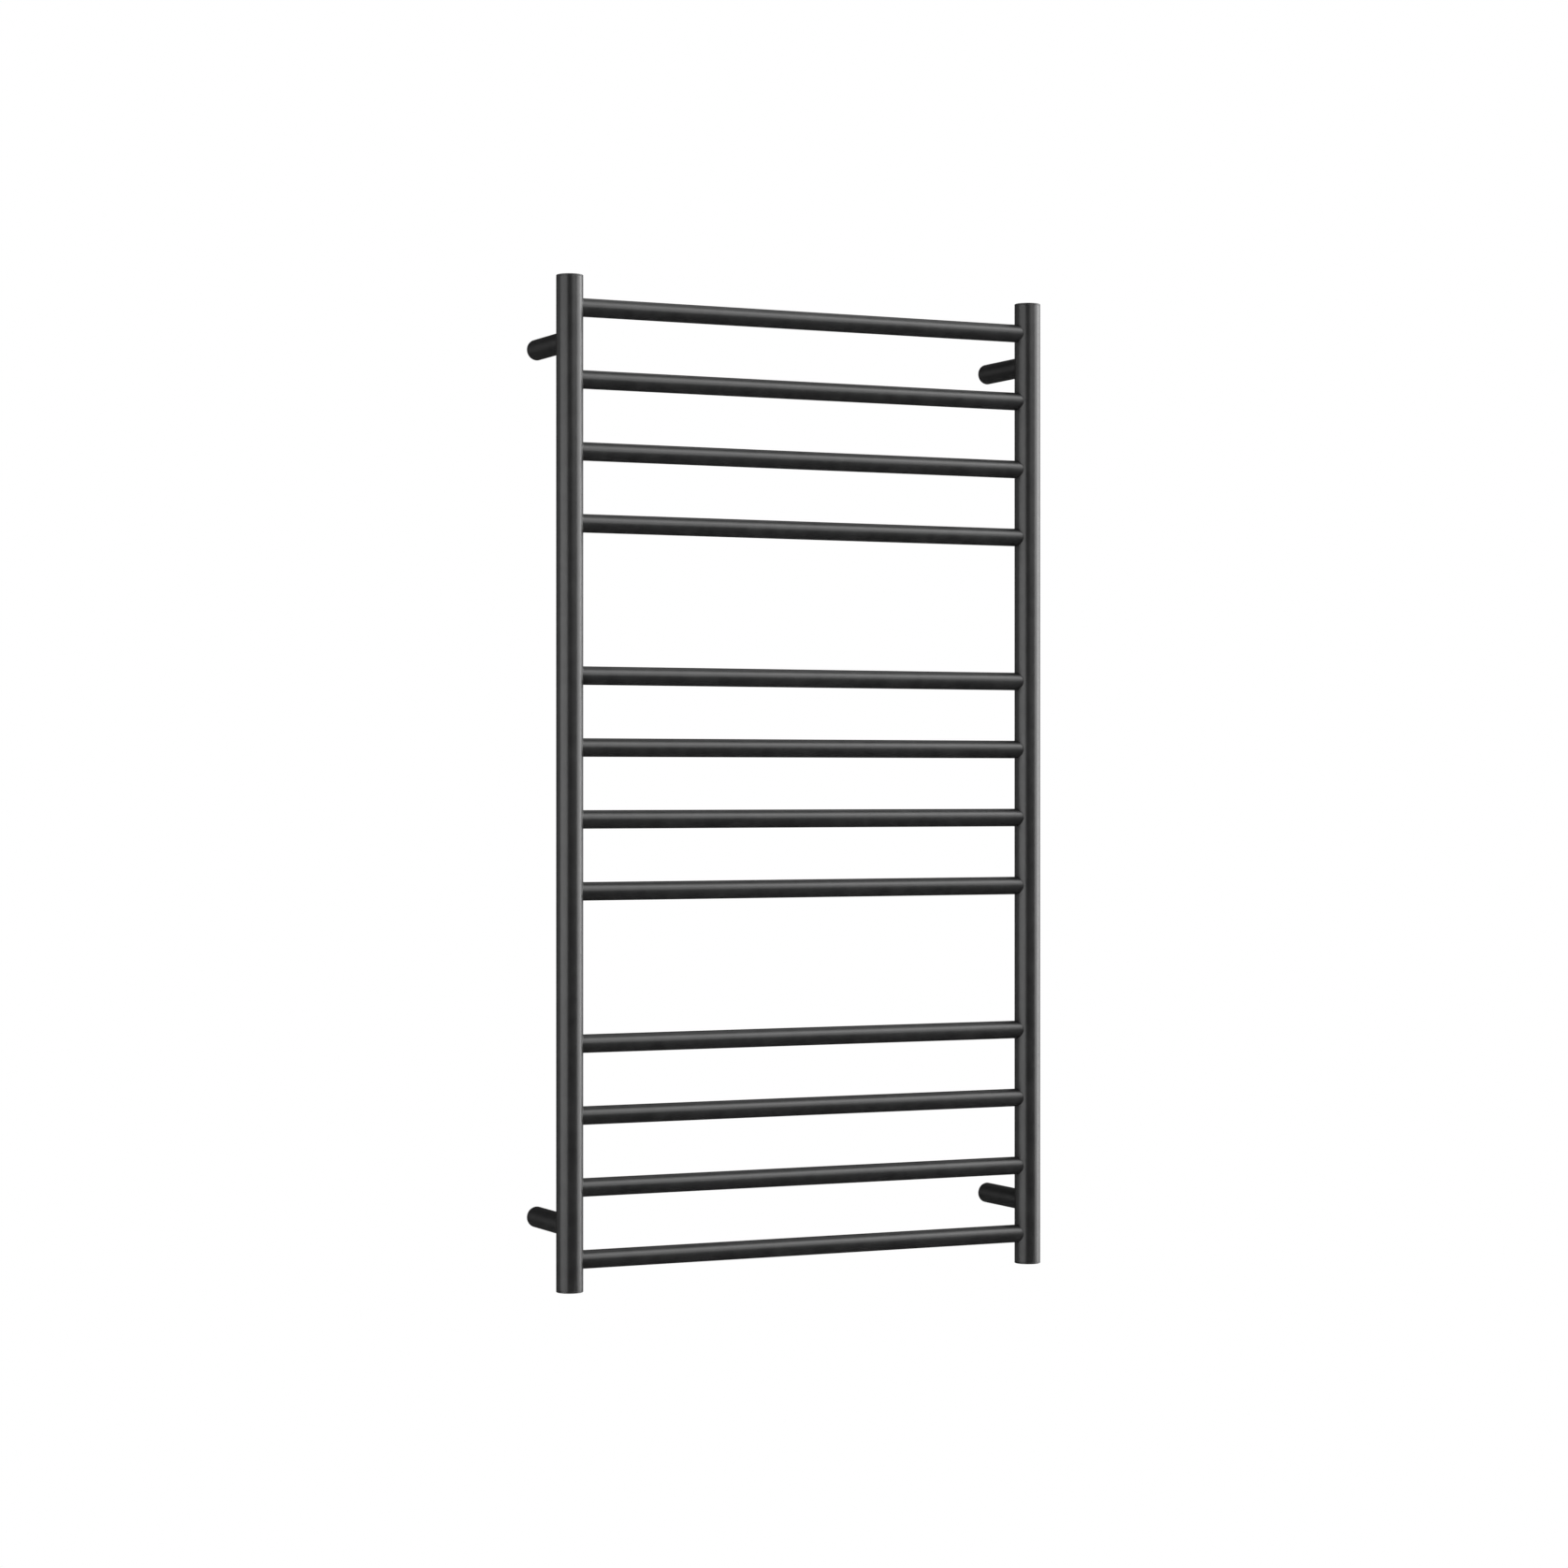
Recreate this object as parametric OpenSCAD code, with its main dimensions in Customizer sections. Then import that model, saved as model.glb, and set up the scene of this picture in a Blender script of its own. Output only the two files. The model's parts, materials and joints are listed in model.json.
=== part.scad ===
// Wall-mounted electric towel warmer: a ladder of round tubes that stands off the wall on four posts.
// Millimetres. The origin is on the wall plane, midway between the four wall fixings.
// +X is to the right, +Z is up, and the rack stands off the wall towards -Y.
// The rack slides onto four bosses that are screwed to the wall, and set screws under the posts hold it.

/* [Stiles] */
// Outside diameter of the two upright stiles
stile_d = 32; // [30:0.5:36]
// Wall thickness of the stiles
stile_wall = 1.5; // [1.2:0.1:2]
// Distance between the stiles' axes
stile_pitch = 618; // [400:1:800]
// Distance from the wall to the stiles' axes
stand_off = 106; // [100:1:130]

/* [Bars] */
// Number of groups of bars
groups = 3; // [2:1:4]
// Bars in each group, an even number so that the element ends in the stile where it starts
bars_per_group = 4; // [2:2:6]
// Distance between the axes of two neighbouring bars in a group
bar_pitch = 85; // [70:1:110]
// Distance between bar axes across the wide gap from one group to the next
group_gap = 180; // [120:1:220]
// Distance from a stile's end to the nearest bar's axis
end_margin = 37.5; // [36:0.5:45]
// Outside diameter of the bars
bar_d = 22; // [20:0.5:25]
// Wall thickness of the bars
bar_wall = 1.2; // [1:0.1:1.5]

/* [Wall posts] */
// Outside diameter of the posts
post_d = 25; // [24:0.5:28]
// Wall thickness of the posts
post_wall = 2.5; // [2.3:0.1:2.6]
// Distance from a stile's end to the axis of the nearest post
post_inset = 77.5; // [72:0.5:90]
// Length of each wall boss inside its post
boss_l = 28; // [20:1:30]
// Diameter of the screw hole through each wall boss
fixing_hole_d = 5; // [4:0.5:5]

/* [End caps] */
// Thickness of a cap's flush disc
cap_t = 2; // [1.5:0.1:3]
// Chamfer on a cap's outer edge
cap_chamfer = 0.5; // [0.2:0.1:1]
// Depth of a cap's plug inside the stile
plug_l = 8; // [4:0.5:9]

/* [Heating element] */
// Diameter of the heating cable
cable_d = 5; // [4:0.5:6]
// Bend radius of the heating cable, on its axis
cable_bend = 10; // [8:0.5:12]
// Diameter of the holes that let the cable through from the stiles into the bars
cable_hole_d = 18; // [16:0.5:19]

/* [Hidden] */
$fn = 64;
// Gap left between sliding or loose pieces
clearance = 0.1;
// Extra length of a cutting tool past the surface that it cuts
over = 1;

// Ladder
bar_count = groups * bars_per_group;
rack_h = 2 * end_margin + groups * (bars_per_group - 1) * bar_pitch + (groups - 1) * group_gap;
stile_x = stile_pitch / 2;
stile_y = -stand_off;
stile_r = stile_d / 2;
stile_bore_r = stile_r - stile_wall;
tube_l = rack_h - 2 * cap_t;
bar_r = bar_d / 2;
bar_bore_r = bar_r - bar_wall;
post_r = post_d / 2;
post_bore_r = post_r - post_wall;
post_z = rack_h / 2 - post_inset;
cable_hole_r = cable_hole_d / 2;

// Wall bosses: a flat along the underside takes the set screw, a channel along the top takes the lead
boss_r = post_bore_r - clearance;
boss_flat_r = boss_r - 0.8;
boss_lead_in = 1;
fixing_hole_r = fixing_hole_d / 2;
fixing_head_r = 4.6;
channel_r = 3.1;
channel_z = boss_r - channel_r - 0.1;

// Set screws
screw_r = 2;
screw_l = 3;
screw_socket_af = 2;
screw_socket_l = 1.5;
screw_y = -boss_l / 2;
screw_tip_gap = 0.05;

// Lead inlet
grommet_r = channel_r - clearance;
grommet_bore_r = 2.1;
grommet_collar_l = 1.5;

// Splice between the supply lead and the element, inside the wired post
splice_r = 6.5;
splice_l = 38;
splice_front_y = -78;
splice_chamfer = 1.5;
splice_groove_r = 5.9;
splice_groove_l = 3;
lead_hole_r = 8;

// Element
cable_r = cable_d / 2;
cable_drop = cable_hole_r - cable_r - clearance;
element_x = -stile_x + 3;
end_tail = 26;
cutout_r = 3.2;
cutout_l = 30;
cutout_x = -stile_x + stile_r + 12;
cutout_chamfer = 0.8;
seal_r = 3.5;
seal_l = 20;
seal_overlap = 8;
ring_sides = 8;
bend_steps = 4;

// Earth bond on the lower left cap
plug_top_z = -rack_h / 2 + cap_t + plug_l;
stud_r = 2;
stud_l = 10;
nut_af = 7;
nut_t = 3.2;
eye_r = 4;
eye_t = 0.8;
barrel_reach = 6;
barrel_r = 1.8;
barrel_l = 7;
earth_r = 1;
earth_bend = 5;
earth_dx = -3.5;
earth_dy = sqrt(barrel_reach * barrel_reach - earth_dx * earth_dx);

SIDES = ["left", "right"];
ENDS = ["top", "bottom"];

function bar_name(i) = str("bar_", i < 10 ? "0" : "", i);
function corner_name(end, side, what) = str(end, "_", side, "_", what);

// Height of bar i's axis, counted from 1 at the top
function bar_z(i) = rack_h / 2 - end_margin - (i - 1) * bar_pitch
    - floor((i - 1) / bars_per_group) * (group_gap - bar_pitch);

function side_x(side) = side == "left" ? -stile_x : stile_x;
function end_sign(end) = end == "top" ? 1 : -1;

// A cylinder along X or Y that starts at the local origin
module along_x(r, l) { rotate([0, 90, 0]) cylinder(r = r, h = l); }
module along_y(r, l) { rotate([-90, 0, 0]) cylinder(r = r, h = l); }

// The outside of one stile, used to cut the saddle ends of bars and posts
module stile_envelope(side) {
    translate([side_x(side), stile_y, -rack_h / 2])
        cylinder(r = stile_r, h = rack_h);
}

// Rings of a swept cable: a point and a direction at each step along a route of right-angled corners
function unit(v) = v / norm(v);
function corner_step(at, into, out, bend, a) = [
    at + bend * ((1 - cos(a)) * out - (1 - sin(a)) * into),
    cos(a) * into + sin(a) * out
];
function route_rings(route, bend) = let (
    last = len(route) - 1,
    way = [for (k = [0:last - 1]) unit(route[k + 1] - route[k])]
) concat(
    [[route[0], way[0]]],
    [
        for (k = [1:last - 1])
            for (s = [0:bend_steps])
                corner_step(route[k], way[k - 1], way[k], bend, 90 * s / bend_steps)
    ],
    [[route[last], way[last - 1]]]
);
// No route runs along this direction, so it fixes how each ring is turned
function ring_normal(way) = unit(cross(way, [1, 1, 1]));
function ring_points(ring, r) = let (
    n = ring_normal(ring[1]),
    b = cross(ring[1], n)
) [for (s = [0:ring_sides - 1]) ring[0] + r * (cos(360 * s / ring_sides) * n + sin(360 * s / ring_sides) * b)];

module swept_cable(route, bend, r) {
    rings = route_rings(route, bend);
    count = len(rings);
    points = [for (ring = rings) each ring_points(ring, r)];
    walls = [
        for (k = [0:count - 2])
            for (s = [0:ring_sides - 1])
                let (t = (s + 1) % ring_sides)
                    [k * ring_sides + s, (k + 1) * ring_sides + s, (k + 1) * ring_sides + t, k * ring_sides + t]
    ];
    first_end = [for (s = [0:ring_sides - 1]) s];
    last_end = [for (s = [ring_sides - 1:-1:0]) (count - 1) * ring_sides + s];
    polyhedron(points = points, faces = concat(walls, [first_end, last_end]));
}

// An upright tube with a cable hole facing each bar, and a lead hole facing the wired post
module stile(side) {
    color("#262628")
        difference() {
            translate([side_x(side), stile_y, -tube_l / 2])
                cylinder(r = stile_r, h = tube_l);
            translate([side_x(side), stile_y, -tube_l / 2 - over])
                cylinder(r = stile_bore_r, h = tube_l + 2 * over);
            for (i = [1:bar_count])
                translate([side_x(side), stile_y, bar_z(i)])
                    rotate([0, 0, side == "left" ? 0 : 180])
                        along_x(cable_hole_r, stile_r + over);
            if (side == "left")
                translate([side_x(side), stile_y, -post_z])
                    along_y(lead_hole_r, stile_r + over);
        }
}

// A tube from stile to stile, its ends cut to the stiles' curve
module bar(i) {
    color("#262628")
        difference() {
            translate([-stile_x, stile_y, bar_z(i)])
                along_x(bar_r, stile_pitch);
            translate([-stile_x - over, stile_y, bar_z(i)])
                along_x(bar_bore_r, stile_pitch + 2 * over);
            stile_envelope("left");
            stile_envelope("right");
        }
}

// A flush disc with a chamfered edge on a plug that presses into the stile
module cap(end, side) {
    color("#262628")
        translate([side_x(side), stile_y, end_sign(end) * (rack_h / 2 - cap_t)])
            mirror([0, 0, end == "top" ? 0 : 1])
                rotate_extrude()
                    polygon([
                        [0, -plug_l],
                        [stile_bore_r - clearance - cap_chamfer, -plug_l],
                        [stile_bore_r - clearance, -plug_l + cap_chamfer],
                        [stile_bore_r - clearance, 0],
                        [stile_r, 0],
                        [stile_r, cap_t - cap_chamfer],
                        [stile_r - cap_chamfer, cap_t],
                        [0, cap_t]
                    ]);
}

// A tube from the stile to the wall, with a tapped hole underneath for the set screw
module post(end, side) {
    color("#1e1e20")
        difference() {
            translate([side_x(side), stile_y, end_sign(end) * post_z])
                along_y(post_r, stand_off);
            translate([side_x(side), stile_y - over, end_sign(end) * post_z])
                along_y(post_bore_r, stand_off + 2 * over);
            stile_envelope(side);
            translate([side_x(side), screw_y, end_sign(end) * post_z - post_r - over])
                cylinder(r = screw_r + clearance, h = post_r + over);
        }
}

// A solid plug screwed to the wall, with a lead channel on top and a flat for the set screw underneath
module boss(end, side) {
    color("#a8aaad")
        translate([side_x(side), 0, end_sign(end) * post_z])
            difference() {
                rotate([90, 0, 0])
                    rotate_extrude()
                        polygon([
                            [fixing_hole_r, 0],
                            [boss_r, 0],
                            [boss_r, boss_l - boss_lead_in],
                            [boss_r - boss_lead_in, boss_l],
                            [fixing_head_r, boss_l],
                            [fixing_hole_r, boss_l - fixing_head_r + fixing_hole_r]
                        ]);
                translate([-boss_r, -boss_l - over, -boss_r - over])
                    cube([2 * boss_r, boss_l + 2 * over, boss_r + over - boss_flat_r]);
                translate([0, -boss_l - over, channel_z])
                    along_y(channel_r, boss_l + 2 * over);
                translate([-channel_r, -boss_l - over, channel_z])
                    cube([2 * channel_r, boss_l + 2 * over, boss_r]);
            }
}

// Flat-point socket set screws, one under each post
module set_screws() {
    color("#8c8e90")
        for (end = ENDS)
            for (side = SIDES)
                translate([side_x(side), screw_y, end_sign(end) * post_z - boss_flat_r - screw_tip_gap - screw_l])
                    difference() {
                        cylinder(r = screw_r, h = screw_l);
                        translate([0, 0, -over])
                            cylinder(d = screw_socket_af / cos(30), h = screw_socket_l + over, $fn = 6);
                    }
}

// A rubber sleeve in the wired boss's channel, with a collar in front
module cable_grommet() {
    color("#303030")
        translate([-stile_x, 0, -post_z + channel_z])
            rotate([90, 0, 0])
                rotate_extrude()
                    polygon([
                        [grommet_bore_r, 0],
                        [grommet_r, 0],
                        [grommet_r, boss_l],
                        [grommet_r + clearance, boss_l],
                        [grommet_r + clearance, boss_l + grommet_collar_l],
                        [grommet_bore_r, boss_l + grommet_collar_l]
                    ]);
}

// A potted sleeve with two crimp grooves
module lead_splice() {
    middle = splice_l / 2;
    color("#4a4a4e")
        translate([-stile_x, splice_front_y, -post_z])
            rotate([-90, 0, 0])
                rotate_extrude()
                    polygon([
                        [0, 0],
                        [splice_r - splice_chamfer, 0],
                        [splice_r, splice_chamfer],
                        [splice_r, middle - 2 * splice_groove_l],
                        [splice_groove_r, middle - 2 * splice_groove_l],
                        [splice_groove_r, middle - splice_groove_l],
                        [splice_r, middle - splice_groove_l],
                        [splice_r, middle + splice_groove_l],
                        [splice_groove_r, middle + splice_groove_l],
                        [splice_groove_r, middle + 2 * splice_groove_l],
                        [splice_r, middle + 2 * splice_groove_l],
                        [splice_r, splice_l - splice_chamfer],
                        [splice_r - splice_chamfer, splice_l],
                        [0, splice_l]
                    ]);
}

// Height at which the cable lies in bar i
function cable_z(i) = bar_z(i) - cable_drop;

// The unheated end of the element, from the splice down the left stile and into the lowest bar
module element_lead() {
    color("#b5522f")
        swept_cable([
            [element_x, splice_front_y, -post_z],
            [element_x, stile_y, -post_z],
            [element_x, stile_y, cable_z(bar_count)],
            [cutout_x, stile_y, cable_z(bar_count)]
        ], cable_bend, cable_r);
}

// A sleeved thermal cut-out in line with the element
module thermal_cutout() {
    color("#c9b37a")
        translate([cutout_x, stile_y, cable_z(bar_count)])
            rotate([0, 90, 0])
                rotate_extrude()
                    polygon([
                        [0, 0],
                        [cutout_r - cutout_chamfer, 0],
                        [cutout_r, cutout_chamfer],
                        [cutout_r, cutout_l - cutout_chamfer],
                        [cutout_r - cutout_chamfer, cutout_l],
                        [0, cutout_l]
                    ]);
}

// The heating cable goes up the ladder in a zigzag, through every bar in turn
module heating_cable() {
    turns = [
        for (k = [0:bar_count - 2])
            let (x = k % 2 == 0 ? stile_x : -stile_x)
                each [[x, stile_y, cable_z(bar_count - k)], [x, stile_y, cable_z(bar_count - k - 1)]]
    ];
    color("#b5522f")
        swept_cable(concat(
            [[cutout_x + cutout_l, stile_y, cable_z(bar_count)]],
            turns,
            [[-stile_x, stile_y, cable_z(1)], [-stile_x, stile_y, cable_z(1) - end_tail]]
        ), cable_bend, cable_r);
}

// A blind cap over the cable's far end
module cable_end_seal() {
    color("#303030")
        translate([-stile_x, stile_y, cable_z(1) - end_tail - seal_l + seal_overlap])
            difference() {
                cylinder(r = seal_r, h = seal_l);
                translate([0, 0, seal_l - seal_overlap])
                    cylinder(r = cable_r + clearance, h = seal_overlap + over);
            }
}

// The earth conductor, from the splice to the terminal on the lower left cap
module earth_lead() {
    color("#5f8f2f")
        swept_cable([
            [-stile_x + earth_dx, splice_front_y, -post_z],
            [-stile_x + earth_dx, stile_y + earth_dy, -post_z],
            [-stile_x + earth_dx, stile_y + earth_dy, plug_top_z + barrel_l]
        ], earth_bend, earth_r);
}

// A ring terminal: a flat eye round the stud and an upright crimp barrel
module earth_terminal() {
    color("#b9bbbd")
        translate([-stile_x, stile_y, plug_top_z])
            rotate([0, 0, atan2(earth_dy, earth_dx)]) {
                difference() {
                    union() {
                        cylinder(r = eye_r, h = eye_t);
                        translate([0, -barrel_r, 0])
                            cube([barrel_reach, 2 * barrel_r, eye_t]);
                    }
                    translate([0, 0, -over])
                        cylinder(r = stud_r + clearance, h = eye_t + 2 * over);
                }
                translate([barrel_reach, 0, 0])
                    cylinder(r = barrel_r, h = barrel_l);
            }
}

// The nut that clamps the terminal
module earth_nut() {
    color("#c8a545")
        translate([-stile_x, stile_y, plug_top_z + eye_t])
            difference() {
                cylinder(d = nut_af / cos(30), h = nut_t, $fn = 6);
                translate([0, 0, -over])
                    cylinder(r = stud_r + clearance, h = nut_t + 2 * over);
            }
}

// A stud welded to the inside of the lower left cap
module earth_stud() {
    color("#c8a545")
        translate([-stile_x, stile_y, plug_top_z])
            cylinder(r = stud_r, h = stud_l);
}

stile("left");  // left_stile
stile("right");  // right_stile
for (i = [1:bar_count])
    bar(i);
for (end = ENDS)
    for (side = SIDES)
        cap(end, side);
for (end = ENDS)
    for (side = SIDES)
        post(end, side);
for (end = ENDS)
    for (side = SIDES)
        boss(end, side);
set_screws();
cable_grommet();
lead_splice();
element_lead();
thermal_cutout();
heating_cable();
cable_end_seal();
earth_lead();
earth_terminal();
earth_nut();
earth_stud();
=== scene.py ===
"""Looks of the wall-mounted towel warmer: smooth satin black tubes in a pale studio, seen as in the photo."""

import json
import math

import bmesh
import bpy
from mathutils import Matrix, Vector


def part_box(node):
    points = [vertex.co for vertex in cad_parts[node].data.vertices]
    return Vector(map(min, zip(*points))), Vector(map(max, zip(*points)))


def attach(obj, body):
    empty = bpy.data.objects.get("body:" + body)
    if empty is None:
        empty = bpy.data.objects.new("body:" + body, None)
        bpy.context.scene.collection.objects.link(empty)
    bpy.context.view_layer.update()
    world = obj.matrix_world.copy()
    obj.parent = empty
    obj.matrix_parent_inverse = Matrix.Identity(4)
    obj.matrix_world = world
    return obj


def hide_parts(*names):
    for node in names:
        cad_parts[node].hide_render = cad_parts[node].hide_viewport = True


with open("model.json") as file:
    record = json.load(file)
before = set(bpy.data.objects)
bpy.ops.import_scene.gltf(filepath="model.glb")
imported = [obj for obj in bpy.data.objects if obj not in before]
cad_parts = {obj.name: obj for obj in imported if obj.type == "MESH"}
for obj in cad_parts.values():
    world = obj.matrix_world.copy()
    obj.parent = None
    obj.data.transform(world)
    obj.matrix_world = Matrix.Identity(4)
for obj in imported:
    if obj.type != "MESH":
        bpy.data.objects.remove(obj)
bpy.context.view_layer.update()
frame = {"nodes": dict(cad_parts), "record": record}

MM = 0.001

# ---------------------------------------------------------------- sizes from the frame


def middle(node):
    """Centre of a node's box."""
    low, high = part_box(node)
    return (Vector(low) + Vector(high)) / 2


def extent(node):
    """Size of a node's box."""
    low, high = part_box(node)
    return Vector(high) - Vector(low)


SIDES = ("left", "right")
ENDS = ("top", "bottom")
BARS = sorted(name for name in frame["nodes"] if name.startswith("bar_"))

STILE_X = {side: middle(f"{side}_stile").x for side in SIDES}
STILE_Y = middle("left_stile").y
STILE_R = extent("left_stile").x / 2
STILE_WALL = 1.5 * MM
TUBE_LOW, TUBE_HIGH = (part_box("left_stile")[k][2] for k in (0, 1))
BAR_R = extent(BARS[0]).z / 2
BAR_WALL = 1.2 * MM
BAR_Z = {name: middle(name).z for name in BARS}
POST_R = extent("top_left_post").x / 2
POST_WALL = 2.5 * MM
POST_Z = {end: middle(f"{end}_left_post").z for end in ENDS}
CABLE_HOLE_R = 9 * MM
LEAD_HOLE_R = 8 * MM
SCREW_HOLE_R = 2.1 * MM
SCREW_Y = middle("set_screws").y

# ---------------------------------------------------------------- mesh building

# Points round a tube or a cap, and round a cable
COLUMNS = 72
CABLE_SIDES = 20
# Rows of quads across a drilled hole's patch
HOLE_ROWS = 8
# Places of a patch's rings, from 0 at its rim to 1 at the hole's edge
HOLE_RINGS = (0.35, 0.7, 1.0)
# Steps round a rim, a weld's fillet, a chamfer's softened corner and a cable's bend
RIM_STEPS = 3
WELD_STEPS = 4
SOFT_STEPS = 2
BEND_STEPS = 8
# Edges that turn by more than this stay hard
SHARP_DEG = 35


class Shell:
    """Vertices and faces of one closed surface, added ring by ring."""

    def __init__(self):
        self.points = []
        self.faces = []

    def add(self, points):
        """Adds points and returns their numbers."""
        first = len(self.points)
        self.points.extend(Vector(p) for p in points)
        return list(range(first, len(self.points)))

    def bridge(self, ring, following, skip=()):
        """Joins two closed rings with quads, apart from the columns in skip."""
        count = len(ring)
        for k in range(count):
            if k not in skip:
                self.faces.append((ring[k], ring[(k + 1) % count], following[(k + 1) % count], following[k]))

    def fill(self, ring):
        """Closes a ring with one face."""
        self.faces.append(tuple(ring))


def build(shell, name, material, node):
    """Makes a Shell into a smooth piece of the rack, hard where it turns sharply, that stands for a node."""
    mesh = bpy.data.meshes.new(name)
    mesh.from_pydata([tuple(p) for p in shell.points], [], shell.faces)
    edit = bmesh.new()
    edit.from_mesh(mesh)
    bmesh.ops.recalc_face_normals(edit, faces=edit.faces)
    for face in edit.faces:
        face.smooth = True
    for edge in edit.edges:
        if len(edge.link_faces) == 2 and edge.calc_face_angle() > math.radians(SHARP_DEG):
            edge.smooth = False
    edit.to_mesh(mesh)
    edit.free()
    piece = bpy.data.objects.new(name, mesh)
    bpy.context.scene.collection.objects.link(piece)
    mesh.materials.append(material)
    weighted = piece.modifiers.new("even_shading", "WEIGHTED_NORMAL")
    weighted.keep_sharp = True
    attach(piece, "rack")
    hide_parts(node)


def quarter(radius, steps):
    """Points of a quarter circle as (out, along), from (0, radius) at the start to (radius, 0) at the end."""
    turn = [math.pi / 2 * k / steps for k in range(steps + 1)]
    return [(radius * (1 - math.cos(a)), radius * (1 - math.sin(a))) for a in turn]


def chamfer(size, soften):
    """Points of a 45 degree chamfer as (in from the side, down from the face), with both corners softened."""
    reach = soften * math.tan(math.pi / 8)
    turn = [math.pi / 4 * k / SOFT_STEPS for k in range(SOFT_STEPS + 1)]
    low = [(soften * (1 - math.cos(a)), size + reach - soften * math.sin(a)) for a in turn]
    return low + [(down, inwards) for inwards, down in reversed(low)]


def turns_round(count):
    """Evenly spaced angles round a circle."""
    return [2 * math.pi * k / count for k in range(count)]


def closed(shell, rings):
    """Joins rings in their order, closes both ends and returns the shell."""
    for ring, following in zip(rings, rings[1:]):
        shell.bridge(ring, following)
    shell.fill(rings[0])
    shell.fill(rings[-1])
    return shell


def lathe(profile, axis_turn, origin):
    """A solid of revolution: profile is (radius, height) from the bottom up, turned about a local Z axis."""
    shell = Shell()
    rings = []
    for radius, height in profile:
        ring = [(radius * math.cos(t), radius * math.sin(t), height) for t in turns_round(COLUMNS)]
        rings.append(shell.add(origin + axis_turn @ Vector(p) for p in ring))
    return closed(shell, rings)


class Tube:
    """A tube about a straight axis, with shaped ends and round holes drilled square to the axis."""

    def __init__(self, origin, axis, across):
        self.origin = Vector(origin)
        self.axis = Vector(axis)
        self.across = Vector(across)
        self.side = self.axis.cross(self.across)
        self.shell = Shell()
        self.rings = []
        self.rows = []

    def at(self, turn, radius, along):
        """Point at an angle, a radius and a distance along the axis."""
        out = math.cos(turn) * self.across + math.sin(turn) * self.side
        return self.origin + radius * out + along * self.axis

    def row(self, radius, along):
        """Adds one ring; along is a number, or a function of the radius and the angle."""
        place = along if callable(along) else (lambda r, turn: along)
        ring = [self.at(turn, radius, place(radius, turn)) for turn in turns_round(COLUMNS)]
        self.rings.append(self.shell.add(ring))
        self.rows.append((radius, None if callable(along) else along))

    def close(self, drilled=()):
        """Joins the rings round the wall, cutting each hole through both of the surfaces that it crosses."""
        skip = {}
        for hole in drilled:
            walls = [self.patch(hole, skip, outer) for outer in (True, False)]
            self.shell.bridge(*walls)
        for k, ring in enumerate(self.rings):
            self.shell.bridge(ring, self.rings[(k + 1) % len(self.rings)], skip.get(k, ()))

    def patch(self, hole, skip, outer):
        """Cuts a hole's rectangle out of one surface and lines it with rings down to the hole's edge."""
        radius = hole["outer_r"] if outer else hole["inner_r"]
        within = hole["reach"] * 1.001
        rows = [
            k for k, (r, along) in enumerate(self.rows)
            if r == radius and along is not None and abs(along - hole["along"]) < within
        ]
        if not outer:
            rows.reverse()
        first, wide = hole["column"] - hole["half"], 2 * hole["half"]
        for row, following in zip(rows, rows[1:]):
            skip.setdefault(min(row, following), set()).update((first + c) % COLUMNS for c in range(wide))
        rim = [(first + c, rows[0]) for c in range(wide)]
        rim += [(first + wide, r) for r in rows[:-1]]
        rim += [(first + c, rows[-1]) for c in range(wide, 0, -1)]
        rim += [(first, r) for r in rows[:0:-1]]
        ring = [self.rings[r][c % COLUMNS] for c, r in rim]
        step = 2 * math.pi / COLUMNS
        for t in HOLE_RINGS:
            points = []
            for c, r in rim:
                turn, along = (c - hole["column"]) * step, self.rows[r][1] - hole["along"]
                way = math.atan2(along, turn * hole["outer_r"])
                hole_turn = math.asin(hole["r"] * math.cos(way) / radius)
                hole_along = hole["r"] * math.sin(way)
                points.append(self.at(
                    hole["column"] * step + turn + t * (hole_turn - turn), radius,
                    hole["along"] + along + t * (hole_along - along)))
            following = self.shell.add(points)
            self.shell.bridge(ring, following)
            ring = following
        return ring


def hole_rows(tube, radius, hole, way=1):
    """Rings that a hole's patch needs, evenly spaced over its reach; way is -1 to add the far ones first."""
    for k in range(HOLE_ROWS + 1)[::way]:
        tube.row(radius, hole["along"] + hole["reach"] * (2 * k / HOLE_ROWS - 1))


def round_edge(tube, radius, along, edge, way=1):
    """Rings of a quarter-round rim at a face; way is 1 where the tube starts and -1 where it ends."""
    for out, back in quarter(edge, RIM_STEPS)[::way]:
        tube.row(radius - back, along + way * out)


# ---------------------------------------------------------------- frame pieces

WELD = 0.35 * MM
WELD_SINK = 0.05 * MM
STILE_RIM = 0.35 * MM
POST_RIM = 0.6 * MM
POST_BORE_RIM = 0.3 * MM
CAP_EDGE = 0.5 * MM
CAP_SOFTEN = 0.15 * MM
CAP_SEAM = 0.3 * MM
CAP_PLUG_GAP = 0.1 * MM
# Half the patch round a drilled hole: along the tube, and in columns round it
CABLE_PATCH, CABLE_PATCH_COLUMNS = 11 * MM, 9
SCREW_PATCH, SCREW_PATCH_COLUMNS = 4.4 * MM, 4


def to_stile(extra=0.0):
    """Distance from a stile's axis plane to its surface, plus extra, for a tube that meets it square on."""
    return lambda radius, turn: math.sqrt(STILE_R ** 2 - (radius * math.cos(turn)) ** 2) + extra


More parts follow.
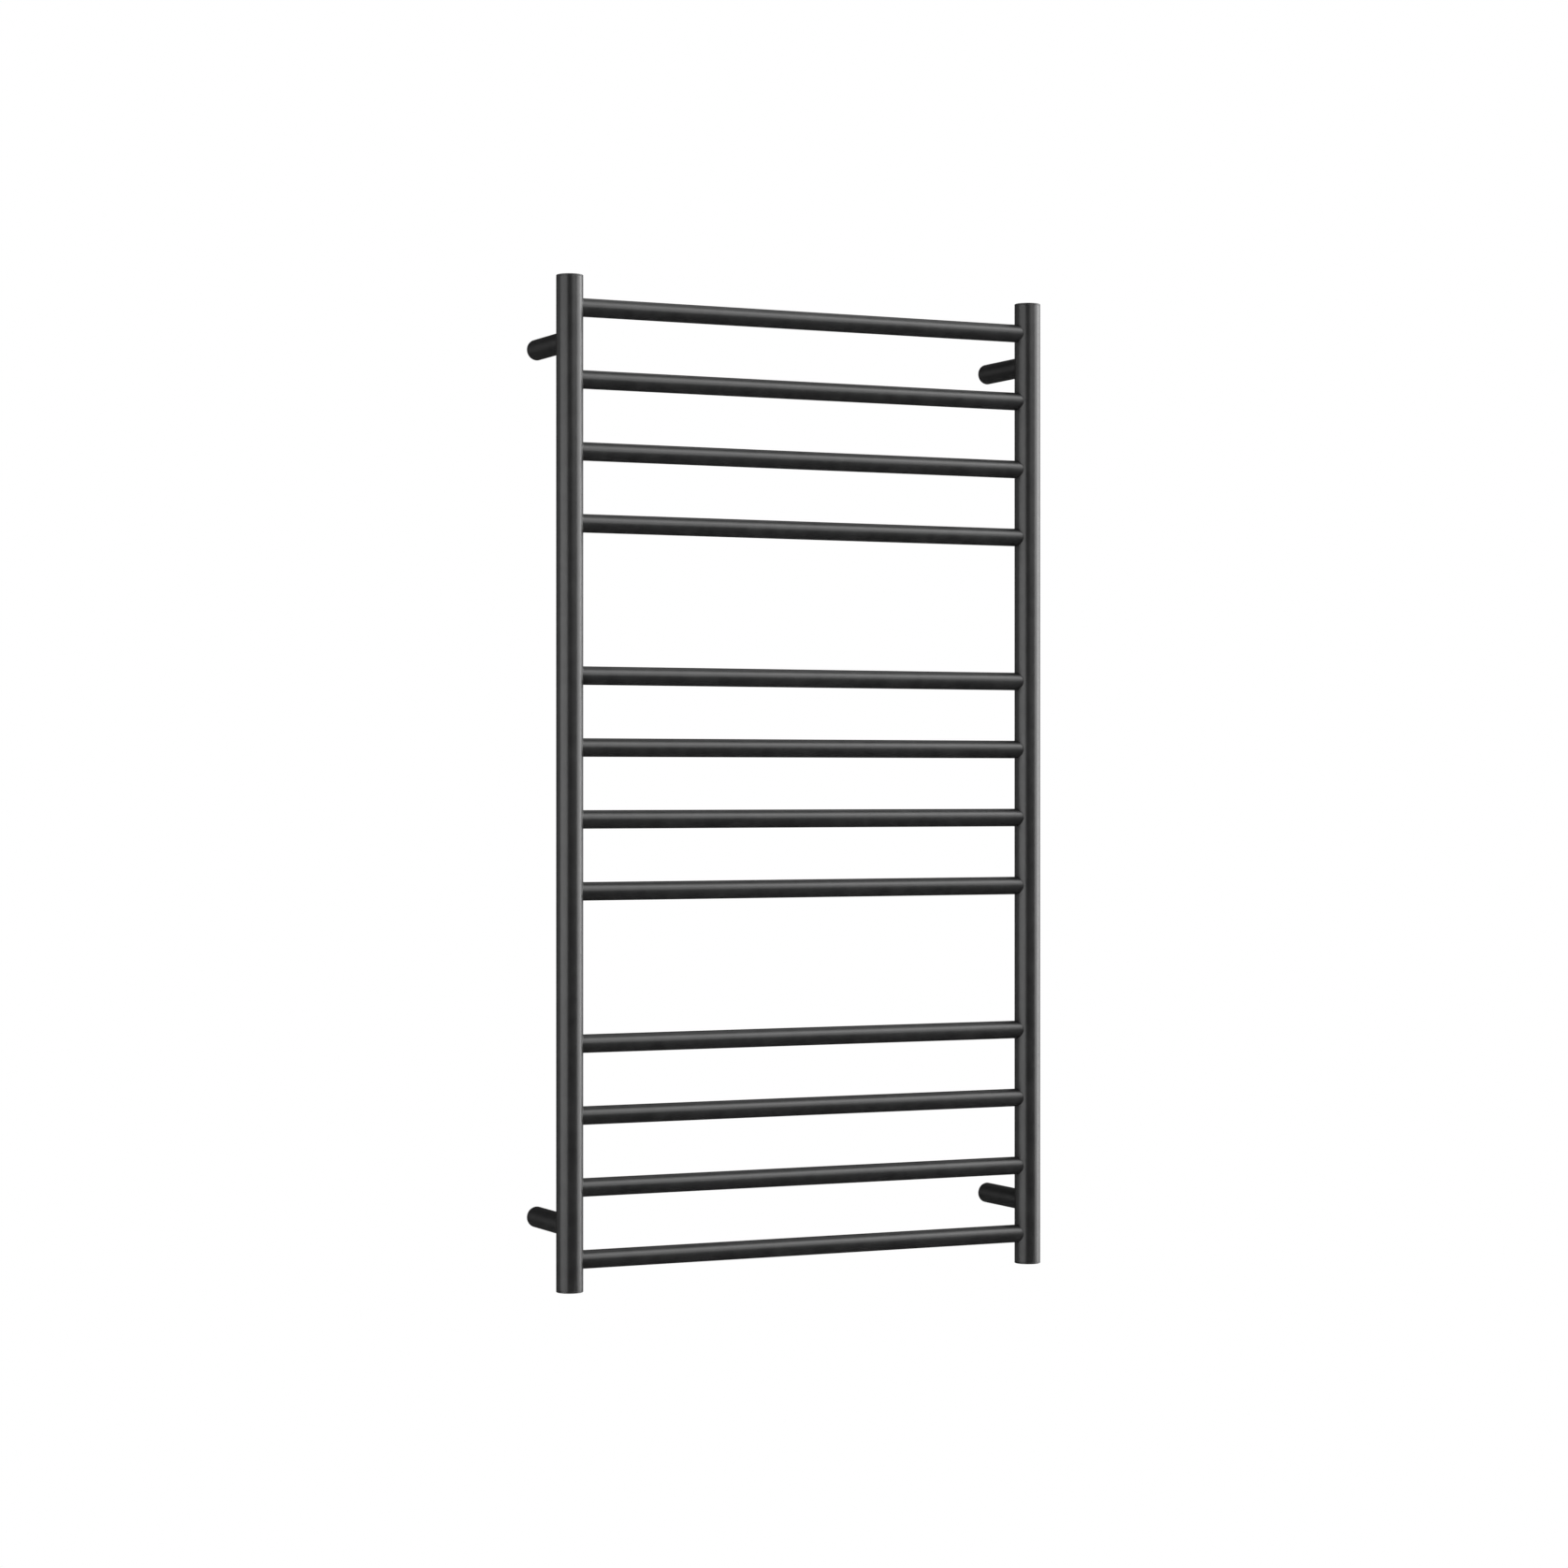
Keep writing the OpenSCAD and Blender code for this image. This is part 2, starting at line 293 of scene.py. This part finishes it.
def make_bar(name, material):
    """A tube coped to both stiles, with a small painted fillet where it is welded."""
    start, length = STILE_X["left"], STILE_X["right"] - STILE_X["left"]
    tube = Tube((start, STILE_Y, BAR_Z[name]), (1, 0, 0), (0, 1, 0))
    bore = BAR_R - BAR_WALL
    near = [(BAR_R + out, back) for out, back in quarter(WELD, WELD_STEPS)]

    def far(extra):
        return lambda radius, turn: length - to_stile(extra)(radius, turn)

    tube.row(near[-1][0], to_stile(-WELD_SINK))
    for radius, back in reversed(near[:-1]):
        tube.row(radius, to_stile(back))
    for radius, back in near[:-1]:
        tube.row(radius, far(back))
    tube.row(near[-1][0], far(-WELD_SINK))
    tube.row(bore, far(0))
    tube.row(bore, to_stile())
    tube.close()
    build(tube.shell, f"{name}_tube", material, name)


def make_stile(side, material):
    """An upright tube with its cable holes and, on the wired side, the hole into the post."""
    inwards = 1 if side == "left" else -1
    tube = Tube((STILE_X[side], STILE_Y, 0), (0, 0, 1), (inwards, 0, 0))
    bore = STILE_R - STILE_WALL
    holes = [{"along": z, "r": CABLE_HOLE_R, "column": 0} for z in BAR_Z.values()]
    if side == "left":
        holes.append({"along": POST_Z["bottom"], "r": LEAD_HOLE_R, "column": COLUMNS // 4})
    for hole in holes:
        hole.update(reach=CABLE_PATCH, half=CABLE_PATCH_COLUMNS, outer_r=STILE_R, inner_r=bore)
    holes.sort(key=lambda hole: hole["along"])
    round_edge(tube, STILE_R, TUBE_LOW, STILE_RIM)
    for hole in holes:
        hole_rows(tube, STILE_R, hole)
    round_edge(tube, STILE_R, TUBE_HIGH, STILE_RIM, -1)
    tube.row(bore, TUBE_HIGH)
    for hole in reversed(holes):
        hole_rows(tube, bore, hole, -1)
    tube.row(bore, TUBE_LOW)
    tube.close(holes)
    build(tube.shell, f"{side}_upright_tube", material, f"{side}_stile")


def make_post(end, side, material):
    """A tube from the wall to the stile, with a tapped hole underneath."""
    tube = Tube((STILE_X[side], 0, POST_Z[end]), (0, -1, 0), (1, 0, 0))
    bore = POST_R - POST_WALL
    stile_at = -STILE_Y
    down = COLUMNS * 3 // 4 if tube.side.z > 0 else COLUMNS // 4
    hole = {
        "along": -SCREW_Y, "r": SCREW_HOLE_R, "reach": SCREW_PATCH, "column": down,
        "half": SCREW_PATCH_COLUMNS, "outer_r": POST_R, "inner_r": bore,
    }

    def near_stile(extra):
        return lambda radius, turn: stile_at - to_stile(extra)(radius, turn)

    round_edge(tube, POST_R, 0, POST_RIM)
    hole_rows(tube, POST_R, hole)
    for out, back in quarter(WELD, WELD_STEPS)[:-1]:
        tube.row(POST_R + out, near_stile(back))
    tube.row(POST_R + WELD, near_stile(-WELD_SINK))
    tube.row(bore, near_stile(0))
    hole_rows(tube, bore, hole, -1)
    tube.row(bore, POST_BORE_RIM)
    tube.row(bore + POST_BORE_RIM, 0)
    tube.close([hole])
    node = f"{end}_{side}_post"
    build(tube.shell, f"{node}_tube", material, node)


def make_cap(end, side, material):
    """A flush disc with a chamfered edge, on a plug inside the stile."""
    node = f"{end}_{side}_cap"
    low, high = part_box(node)
    thick = high[2] - TUBE_HIGH if end == "top" else TUBE_LOW - low[2]
    depth = high[2] - low[2] - thick
    plug_r = STILE_R - STILE_WALL - CAP_PLUG_GAP
    profile = [(plug_r - CAP_EDGE, -depth), (plug_r, -depth + CAP_EDGE), (plug_r, 0)]
    profile += [(STILE_R - back, out) for out, back in quarter(CAP_SEAM, RIM_STEPS)]
    profile += [(STILE_R - inwards, thick - down) for inwards, down in chamfer(CAP_EDGE, CAP_SOFTEN)]
    turn = Matrix.Identity(3) if end == "top" else Matrix.Rotation(math.pi, 3, "X")
    origin = Vector((STILE_X[side], STILE_Y, TUBE_HIGH if end == "top" else TUBE_LOW))
    build(lathe(profile, turn, origin), f"{node}_disc", material, node)


# ---------------------------------------------------------------- wiring

CABLE_R = 2.5 * MM
CABLE_DROP = CABLE_HOLE_R - CABLE_R - 0.1 * MM
CABLE_BEND = 10 * MM
EARTH_R = 1 * MM
EARTH_BEND = 5 * MM
END_IN_SEAL = 8 * MM


def sweep(route, bend, radius):
    """A round cable along a route of right-angled corners, each rounded to the bend radius."""
    route = [Vector(p) for p in route]
    way = [(b - a).normalized() for a, b in zip(route, route[1:])]
    stations = [(route[0], way[0])]
    for corner, into, out in zip(route[1:-1], way, way[1:]):
        for k in range(BEND_STEPS + 1):
            a = math.pi / 2 * k / BEND_STEPS
            point = corner + bend * ((1 - math.cos(a)) * out - (1 - math.sin(a)) * into)
            stations.append((point, math.cos(a) * into + math.sin(a) * out))
    stations.append((route[-1], way[-1]))
    shell = Shell()
    rings = []
    for point, ahead in stations:
        across = ahead.cross(Vector((1, 1, 1))).normalized()
        side = ahead.cross(across)
        ring = [math.cos(t) * across + math.sin(t) * side for t in turns_round(CABLE_SIDES)]
        rings.append(shell.add(point + radius * out for out in ring))
    return closed(shell, rings)


def make_wiring(looks):
    """The element's cable, its unheated lead and the earth lead, as smooth cables on the frame's route."""
    level = {name: z - CABLE_DROP for name, z in BAR_Z.items()}
    lowest = level[BARS[-1]]
    splice_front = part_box("lead_splice")[0][1]
    lead_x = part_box("element_lead")[0][0] + CABLE_R
    cutout_low, cutout_high = (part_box("thermal_cutout")[k][0] for k in (0, 1))
    lead = [
        (lead_x, splice_front, POST_Z["bottom"]), (lead_x, STILE_Y, POST_Z["bottom"]),
        (lead_x, STILE_Y, lowest), (cutout_low, STILE_Y, lowest),
    ]
    route = [(cutout_high, STILE_Y, lowest)]
    upwards = list(reversed(BARS))
    for k, (name, above) in enumerate(zip(upwards, upwards[1:])):
        x = STILE_X["right" if k % 2 == 0 else "left"]
        route += [(x, STILE_Y, level[name]), (x, STILE_Y, level[above])]
    seal_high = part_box("cable_end_seal")[1][2]
    route += [(STILE_X["left"], STILE_Y, level[BARS[0]]), (STILE_X["left"], STILE_Y, seal_high - END_IN_SEAL)]
    earth_x = middle("earth_lead").x
    earth_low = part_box("earth_lead")[0]
    earth_y = earth_low[1] + EARTH_R
    earth = [
        (earth_x, splice_front, POST_Z["bottom"]), (earth_x, earth_y, POST_Z["bottom"]),
        (earth_x, earth_y, earth_low[2]),
    ]
    cables = [
        (lead, CABLE_BEND, CABLE_R, "element_cold_lead", "silicone_cable", "element_lead"),
        (route, CABLE_BEND, CABLE_R, "element_heating_cable", "silicone_cable", "heating_cable"),
        (earth, EARTH_BEND, EARTH_R, "earth_wire", "earth_green", "earth_lead"),
    ]
    for points, bend, radius, name, slot, node in cables:
        build(sweep(points, bend, radius), name, looks[slot], node)


# ---------------------------------------------------------------- materials


def blank(name):
    """A material with only its Principled shader; returns it with its tree and shader."""
    material = bpy.data.materials.new(name)
    material.use_nodes = True
    tree = material.node_tree
    return material, tree, tree.nodes["Principled BSDF"]


def noise(tree, scale, detail=2.0, roughness=0.5, stretch=(1, 1, 1)):
    """Noise over the object's own coordinates, about scale lumps to the metre; returns its value socket."""
    where = tree.nodes.new("ShaderNodeTexCoord")
    mapping = tree.nodes.new("ShaderNodeMapping")
    mapping.inputs["Scale"].default_value = stretch
    texture = tree.nodes.new("ShaderNodeTexNoise")
    texture.inputs["Scale"].default_value = scale
    texture.inputs["Detail"].default_value = detail
    texture.inputs["Roughness"].default_value = roughness
    tree.links.new(where.outputs["Object"], mapping.inputs["Vector"])
    tree.links.new(mapping.outputs["Vector"], texture.inputs["Vector"])
    return texture.outputs["Fac"]


def waves(tree, scale, turn, distortion=0.0):
    """Ridges across the object's own coordinates, turned by three angles; returns their value socket."""
    where = tree.nodes.new("ShaderNodeTexCoord")
    mapping = tree.nodes.new("ShaderNodeMapping")
    mapping.inputs["Rotation"].default_value = turn
    texture = tree.nodes.new("ShaderNodeTexWave")
    texture.inputs["Scale"].default_value = scale
    texture.inputs["Distortion"].default_value = distortion
    tree.links.new(where.outputs["Object"], mapping.inputs["Vector"])
    tree.links.new(mapping.outputs["Vector"], texture.inputs["Vector"])
    return texture.outputs["Fac"]


def ramp(tree, source, stops):
    """Colours or greys along a source value; stops is a list of (place, (r, g, b))."""
    node = tree.nodes.new("ShaderNodeValToRGB")
    band = node.color_ramp.elements
    while len(band) < len(stops):
        band.new(0.5)
    for element, (place, colour) in zip(band, stops):
        element.position = place
        element.color = (*colour, 1)
    tree.links.new(source, node.inputs["Fac"])
    return node.outputs["Color"]


def scaled(tree, source, low, high):
    """Maps a 0 to 1 value to low to high."""
    node = tree.nodes.new("ShaderNodeMapRange")
    node.inputs["To Min"].default_value = low
    node.inputs["To Max"].default_value = high
    tree.links.new(source, node.inputs["Value"])
    return node.outputs["Result"]


def blend_colour(tree, amount, first, second, mode="MIX"):
    """Mixes two colours by an amount socket or number; each colour is a socket or (r, g, b)."""
    node = tree.nodes.new("ShaderNodeMix")
    node.data_type = "RGBA"
    node.blend_type = mode
    for value, socket in ((amount, node.inputs[0]), (first, node.inputs[6]), (second, node.inputs[7])):
        if isinstance(value, (int, float)):
            socket.default_value = value
        elif isinstance(value, tuple):
            socket.default_value = (*value, 1)
        else:
            tree.links.new(value, socket)
    return node.outputs[2]


def bump(tree, height, strength, distance, below=None):
    """A bump from a height socket, on top of another bump if given."""
    node = tree.nodes.new("ShaderNodeBump")
    node.inputs["Strength"].default_value = strength
    node.inputs["Distance"].default_value = distance
    tree.links.new(height, node.inputs["Height"])
    if below is not None:
        tree.links.new(below, node.inputs["Normal"])
    return node.outputs["Normal"]


def worn_edges(tree, low, high):
    """How far a point lies on an outward edge, from 0 to 1."""
    shape = tree.nodes.new("ShaderNodeNewGeometry")
    node = tree.nodes.new("ShaderNodeMapRange")
    node.inputs["From Min"].default_value = low
    node.inputs["From Max"].default_value = high
    tree.links.new(shape.outputs["Pointiness"], node.inputs["Value"])
    return node.outputs["Result"]


COAT_DARK = (0.0090, 0.0090, 0.0092)
COAT_LIGHT = (0.0160, 0.0160, 0.0162)
COAT_EDGE = (0.03, 0.03, 0.03)
COAT_ROUGHNESS = 0.31


def powder_coat():
    """Satin black powder coat: fine orange peel, slight mottling of colour and gloss, rubbed edges."""
    material, tree, shader = blank("satin_black_powder_coat")
    mottle = noise(tree, 55, 4)
    colour = ramp(tree, mottle, [(0.3, COAT_DARK), (0.7, COAT_LIGHT)])
    edge = worn_edges(tree, 0.53, 0.62)
    colour = blend_colour(tree, edge, colour, COAT_EDGE)
    tree.links.new(colour, shader.inputs["Base Color"])
    gloss = scaled(tree, noise(tree, 140, 3), COAT_ROUGHNESS - 0.05, COAT_ROUGHNESS + 0.05)
    tree.links.new(gloss, shader.inputs["Roughness"])
    peel = bump(tree, noise(tree, 650, 2), 0.6, 0.07 * MM)
    grain = bump(tree, noise(tree, 2400, 3, 0.6), 0.5, 0.02 * MM, peel)
    tree.links.new(grain, shader.inputs["Normal"])
    shader.inputs["IOR"].default_value = 1.5
    return material


def turned_steel():
    """Stainless steel with fine turning lines round each boss."""
    material, tree, shader = blank("turned_stainless_steel")
    lines = noise(tree, 900, 2, 0.6, (0.05, 1, 0.05))
    colour = ramp(tree, noise(tree, 160, 3), [(0.3, (0.46, 0.46, 0.47)), (0.75, (0.62, 0.61, 0.6))])
    tree.links.new(colour, shader.inputs["Base Color"])
    tree.links.new(scaled(tree, lines, 0.24, 0.42), shader.inputs["Roughness"])
    tree.links.new(bump(tree, lines, 0.35, 0.04 * MM), shader.inputs["Normal"])
    shader.inputs["Metallic"].default_value = 1.0
    return material


def plain_metal(name, dark, light, rough):
    """A metal with slight tarnish and a fine tooth."""
    material, tree, shader = blank(name)
    tarnish = noise(tree, 300, 4)
    colour = ramp(tree, tarnish, [(0.3, dark), (0.7, light)])
    colour = blend_colour(tree, worn_edges(tree, 0.52, 0.6), colour, tuple(min(1, 1.3 * c) for c in light))
    tree.links.new(colour, shader.inputs["Base Color"])
    gloss = scaled(tree, noise(tree, 600, 3), rough - 0.08, rough + 0.08)
    tree.links.new(gloss, shader.inputs["Roughness"])
    tree.links.new(bump(tree, noise(tree, 1500, 2), 0.2, 0.02 * MM), shader.inputs["Normal"])
    shader.inputs["Metallic"].default_value = 1.0
    return material


def soft_plastic(name, dark, light, rough):
    """Rubber, silicone or plastic: a matt skin with a little dust and a fine grain."""
    material, tree, shader = blank(name)
    colour = ramp(tree, noise(tree, 120, 4), [(0.3, dark), (0.7, light)])
    tree.links.new(colour, shader.inputs["Base Color"])
    tree.links.new(scaled(tree, noise(tree, 260, 2), rough - 0.06, rough + 0.06), shader.inputs["Roughness"])
    tree.links.new(bump(tree, noise(tree, 700, 3), 0.3, 0.04 * MM), shader.inputs["Normal"])
    return material


def braided_sleeve():
    """Glass-fibre braid: two crossed sets of ridges, with painted shade down in the grooves between them."""
    material, tree, shader = blank("braided_glass_fibre")
    one_way, other_way = (waves(tree, 320, (turn, turn, turn), 0.6) for turn in (0.7, -0.7))
    weave_height_and_shade = blend_colour(tree, 1.0, one_way, other_way, "MULTIPLY")
    # The colour follows the weave's height, darker down in its grooves: this is painted shade.
    colour = ramp(tree, weave_height_and_shade, [(0.0, (0.32, 0.26, 0.15)), (0.7, (0.66, 0.57, 0.38))])
    tree.links.new(colour, shader.inputs["Base Color"])
    tree.links.new(scaled(tree, noise(tree, 300, 2), 0.6, 0.8), shader.inputs["Roughness"])
    tree.links.new(bump(tree, weave_height_and_shade, 0.5, 0.12 * MM), shader.inputs["Normal"])
    return material


def striped_wire():
    """Green insulation with a yellow stripe wound round it."""
    material, tree, shader = blank("green_and_yellow_insulation")
    wound = waves(tree, 45, (0.5, 0.2, 0.3))
    stripe = ramp(tree, wound, [(0.60, (0.07, 0.26, 0.05)), (0.64, (0.72, 0.6, 0.04))])
    tree.links.new(stripe, shader.inputs["Base Color"])
    tree.links.new(scaled(tree, noise(tree, 200, 2), 0.32, 0.45), shader.inputs["Roughness"])
    tree.links.new(bump(tree, noise(tree, 900, 2), 0.2, 0.02 * MM), shader.inputs["Normal"])
    return material


def all_looks():
    """One material for each of the record's slots."""
    return {
        "black_powder_coat": powder_coat(),
        "stainless_steel": turned_steel(),
        "blackened_steel": plain_metal("blackened_steel", (0.03, 0.03, 0.03), (0.07, 0.07, 0.07), 0.4),
        "black_rubber": soft_plastic("black_rubber", (0.012, 0.012, 0.012), (0.03, 0.03, 0.03), 0.62),
        "grey_sleeve": soft_plastic("grey_heat_shrink", (0.05, 0.05, 0.055), (0.09, 0.09, 0.095), 0.42),
        "silicone_cable": soft_plastic("red_brown_silicone", (0.3, 0.06, 0.025), (0.42, 0.1, 0.04), 0.48),
        "glass_fibre_sleeve": braided_sleeve(),
        "earth_green": striped_wire(),
        "tinned_copper": plain_metal("tinned_copper", (0.5, 0.48, 0.46), (0.7, 0.7, 0.69), 0.3),
        "brass": plain_metal("brass", (0.5, 0.32, 0.1), (0.78, 0.56, 0.22), 0.28),
    }


# Width of the broken edges of the CAD nodes that still show
BROKEN_EDGE = {f"{end}_{side}_boss": 0.3 * MM for end in ENDS for side in SIDES}
BROKEN_EDGE.update({
    "set_screws": 0.12 * MM, "earth_terminal": 0.15 * MM, "earth_nut": 0.2 * MM,
    "lead_splice": 0.5 * MM, "cable_end_seal": 0.5 * MM, "thermal_cutout": 0.4 * MM,
})


def dress_frame(looks):
    """Gives each CAD node its slot's material, and broken edges where it is listed above."""
    for part in frame["record"]["subparts"]:
        node = frame["nodes"][part["node"]]
        node.data.materials.clear()
        node.data.materials.append(looks[part["material_slot"]])
        if part["node"] in BROKEN_EDGE:
            bevel = node.modifiers.new("broken_edge", "BEVEL")
            bevel.width = BROKEN_EDGE[part["node"]]
            bevel.segments = 2
            bevel.limit_method = "ANGLE"
            bevel.angle_limit = math.radians(40)
            bevel.harden_normals = True


# ---------------------------------------------------------------- studio

LENS_MM = 84.62
SENSOR_MM = 36.0
VIEW_TURN_DEG = 25.549
# Camera's place from the rack's middle, on the plane of the stiles' axes
CAMERA_X, CAMERA_Y, CAMERA_Z = -1.9564, -4.0326, -0.0006
WHITE = (1, 1, 1, 1)
FLOOR_SIZE = 40
FLOOR_Z = -2.2
LIGHT_DISTANCE = 8.0
AMBIENT = 0.045


def place_camera():
    """A level camera at mid-height, to the left of the rack."""
    camera = bpy.data.objects.new("camera", bpy.data.cameras.new("camera"))
    camera.data.lens = LENS_MM
    camera.data.sensor_width = SENSOR_MM
    camera.data.clip_end = 100
    camera.location = (CAMERA_X, STILE_Y + CAMERA_Y, CAMERA_Z)
    camera.rotation_euler = (math.pi / 2, 0, -math.radians(VIEW_TURN_DEG))
    bpy.context.scene.collection.objects.link(camera)
    bpy.context.scene.camera = camera


def area_light(name, azimuth, elevation, width, height, brightness):
    """A softbox aimed at the rack's middle; azimuth 0 is in front of the rack and 90 to its right."""
    a, e = math.radians(azimuth), math.radians(elevation)
    out = Vector((math.sin(a) * math.cos(e), -math.cos(a) * math.cos(e), math.sin(e)))
    light = bpy.data.lights.new(name, "AREA")
    light.shape = "RECTANGLE"
    light.size, light.size_y = width, height
    # The power at which the lamp's surface has this brightness
    light.energy = brightness * width * height * math.pi
    lamp = bpy.data.objects.new(name, light)
    lamp.location = Vector((0, STILE_Y, 0)) + LIGHT_DISTANCE * out
    lamp.rotation_euler = (-out).to_track_quat("-Z", "Y").to_euler()
    lamp.visible_camera = False
    bpy.context.scene.collection.objects.link(lamp)


def camera_sees(tree, seen, otherwise):
    """One shader for the camera's own rays and another for light and reflections."""
    ray = tree.nodes.new("ShaderNodeLightPath")
    mix = tree.nodes.new("ShaderNodeMixShader")
    tree.links.new(ray.outputs["Is Camera Ray"], mix.inputs["Fac"])
    tree.links.new(otherwise, mix.inputs[1])
    tree.links.new(seen, mix.inputs[2])
    return mix.outputs["Shader"]


def white_room():
    """White where the camera looks past the rack, dim for light and reflections."""
    world = bpy.data.worlds.new("studio")
    bpy.context.scene.world = world
    world.use_nodes = True
    tree = world.node_tree
    tree.nodes.clear()
    seen = tree.nodes.new("ShaderNodeBackground")
    seen.inputs["Color"].default_value = WHITE
    dim = tree.nodes.new("ShaderNodeBackground")
    dim.inputs["Color"].default_value = WHITE
    dim.inputs["Strength"].default_value = AMBIENT
    out = tree.nodes.new("ShaderNodeOutputWorld")
    surface = camera_sees(tree, seen.outputs["Background"], dim.outputs["Background"])
    tree.links.new(surface, out.inputs["Surface"])


def pale_floor():
    """A wide pale floor well under the wall-hung rack, white to the camera and out of its reflections."""
    bpy.ops.mesh.primitive_plane_add(size=FLOOR_SIZE, location=(0, 0, FLOOR_Z))
    floor = bpy.context.object
    floor.name = "studio_floor"
    material, tree, shader = blank("pale_floor")
    shader.inputs["Base Color"].default_value = (0.9, 0.9, 0.9, 1)
    shader.inputs["Roughness"].default_value = 0.9
    shader.inputs["Specular IOR Level"].default_value = 0.1
    glow = tree.nodes.new("ShaderNodeEmission")
    glow.inputs["Color"].default_value = WHITE
    surface = camera_sees(tree, glow.outputs["Emission"], shader.outputs["BSDF"])
    tree.links.new(surface, tree.nodes["Material Output"].inputs["Surface"])
    floor.data.materials.append(material)
    floor.visible_glossy = False


# Name, azimuth and elevation in degrees, width and height in metres, brightness
LIGHTS = [
    ("left_softbox", -74.5, 0, 9.92, 4.00, 3.09),
    ("right_softbox", 69.6, 20.4, 8.32, 10.72, 4.02),
    ("side_softbox", 88, 10, 2.88, 6.72, 2.93),
    ("side_back_softbox", 107, 10, 3.52, 6.72, 1.13),
    ("high_softbox", 75, 60, 12.80, 11.04, 0.58),
    ("front_softbox", 14.7, 41.7, 5.12, 10.24, 2.43),
    ("back_left_softbox", -129.4, 4.3, 6.72, 4.80, 0.33),
    ("back_high_softbox", 150, 50, 5.60, 4.80, 0.1),
]


# ---------------------------------------------------------------- the whole scene

looks = all_looks()
dress_frame(looks)
coat = looks["black_powder_coat"]
for side in SIDES:
    make_stile(side, coat)
for bar in BARS:
    make_bar(bar, coat)
for end in ENDS:
    for side in SIDES:
        make_cap(end, side, coat)
        make_post(end, side, coat)
make_wiring(looks)
place_camera()
white_room()
pale_floor()
for light in LIGHTS:
    area_light(*light)
bpy.context.scene.view_settings.view_transform = "Standard"
